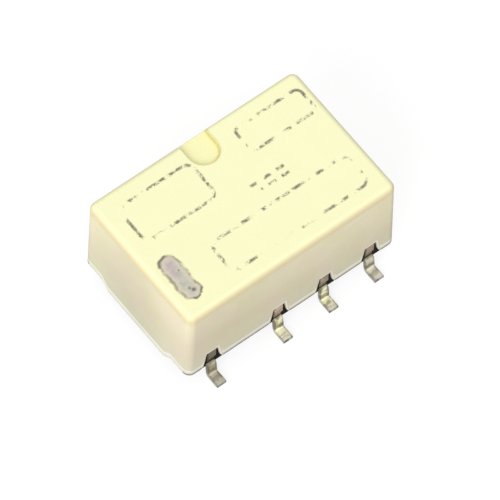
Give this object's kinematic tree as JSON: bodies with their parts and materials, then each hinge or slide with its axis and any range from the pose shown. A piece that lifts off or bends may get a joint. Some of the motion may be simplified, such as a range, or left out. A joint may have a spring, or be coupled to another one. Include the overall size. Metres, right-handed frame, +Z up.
{
  "type": "signal relay",
  "caption": "Miniature surface-mount signal relay: sealed ivory case with gull-wing terminals, and inside it a polarised coil that rocks a balanced armature between its contacts.",
  "frame": {"origin": "middle of the relay's footprint, on the board: the plane of the feet's undersides", "axes": "+X along the long sides, from the coil terminals and the polarity mark to the other end; +Y across, towards the rear terminals and the gate recess; +Z up from the board"},
  "size_m": [0.01, 0.0076, 0.0052],
  "materials": {
    "ivory_plastic": "fine moulded satin",
    "mark_ink": "matt printed field",
    "base_plastic": "moulded satin",
    "resin": "cured resin",
    "tinned_copper": "tin plating over copper alloy",
    "bobbin_plastic": "moulded",
    "copper_wire": "enamelled wire",
    "soft_iron": "plated iron",
    "magnet": "sintered magnet",
    "carrier_plastic": "moulded",
    "spring_bronze": "rolled spring strip",
    "contact_silver": "silver alloy"
  },
  "bodies": {
    "housing": {"cover": "ivory_plastic", "polarity_mark": "mark_ink", "base": "base_plastic", "sealing_resin": "resin", "bobbin": "bobbin_plastic", "coil_winding": "copper_wire", "front_coil_lead": "copper_wire", "rear_coil_lead": "copper_wire", "core": "soft_iron", "permanent_magnet": "magnet", "front_coil_terminal": "tinned_copper", "front_nc_terminal": "tinned_copper", "front_common_terminal": "tinned_copper", "front_no_terminal": "tinned_copper", "rear_coil_terminal": "tinned_copper", "rear_nc_terminal": "tinned_copper", "rear_common_terminal": "tinned_copper", "rear_no_terminal": "tinned_copper", "front_nc_fixed_contact": "contact_silver", "front_no_fixed_contact": "contact_silver", "rear_nc_fixed_contact": "contact_silver", "rear_no_fixed_contact": "contact_silver"},
    "rocker": {"armature": "soft_iron", "armature_carrier": "carrier_plastic", "front_spring": "spring_bronze", "rear_spring": "spring_bronze", "front_nc_moving_contacts": "contact_silver", "front_no_moving_contacts": "contact_silver", "rear_nc_moving_contacts": "contact_silver", "rear_no_moving_contacts": "contact_silver"}
  },
  "joints": [
    {"name": "armature_rock", "type": "hinge", "parent": "housing", "child": "rocker", "pos_m": [0, 0, 0.00402], "axis": [0, 1, 0], "range_deg": [0, 4.4], "stiffness_Nm_per_rad": 0.0001}
  ]
}
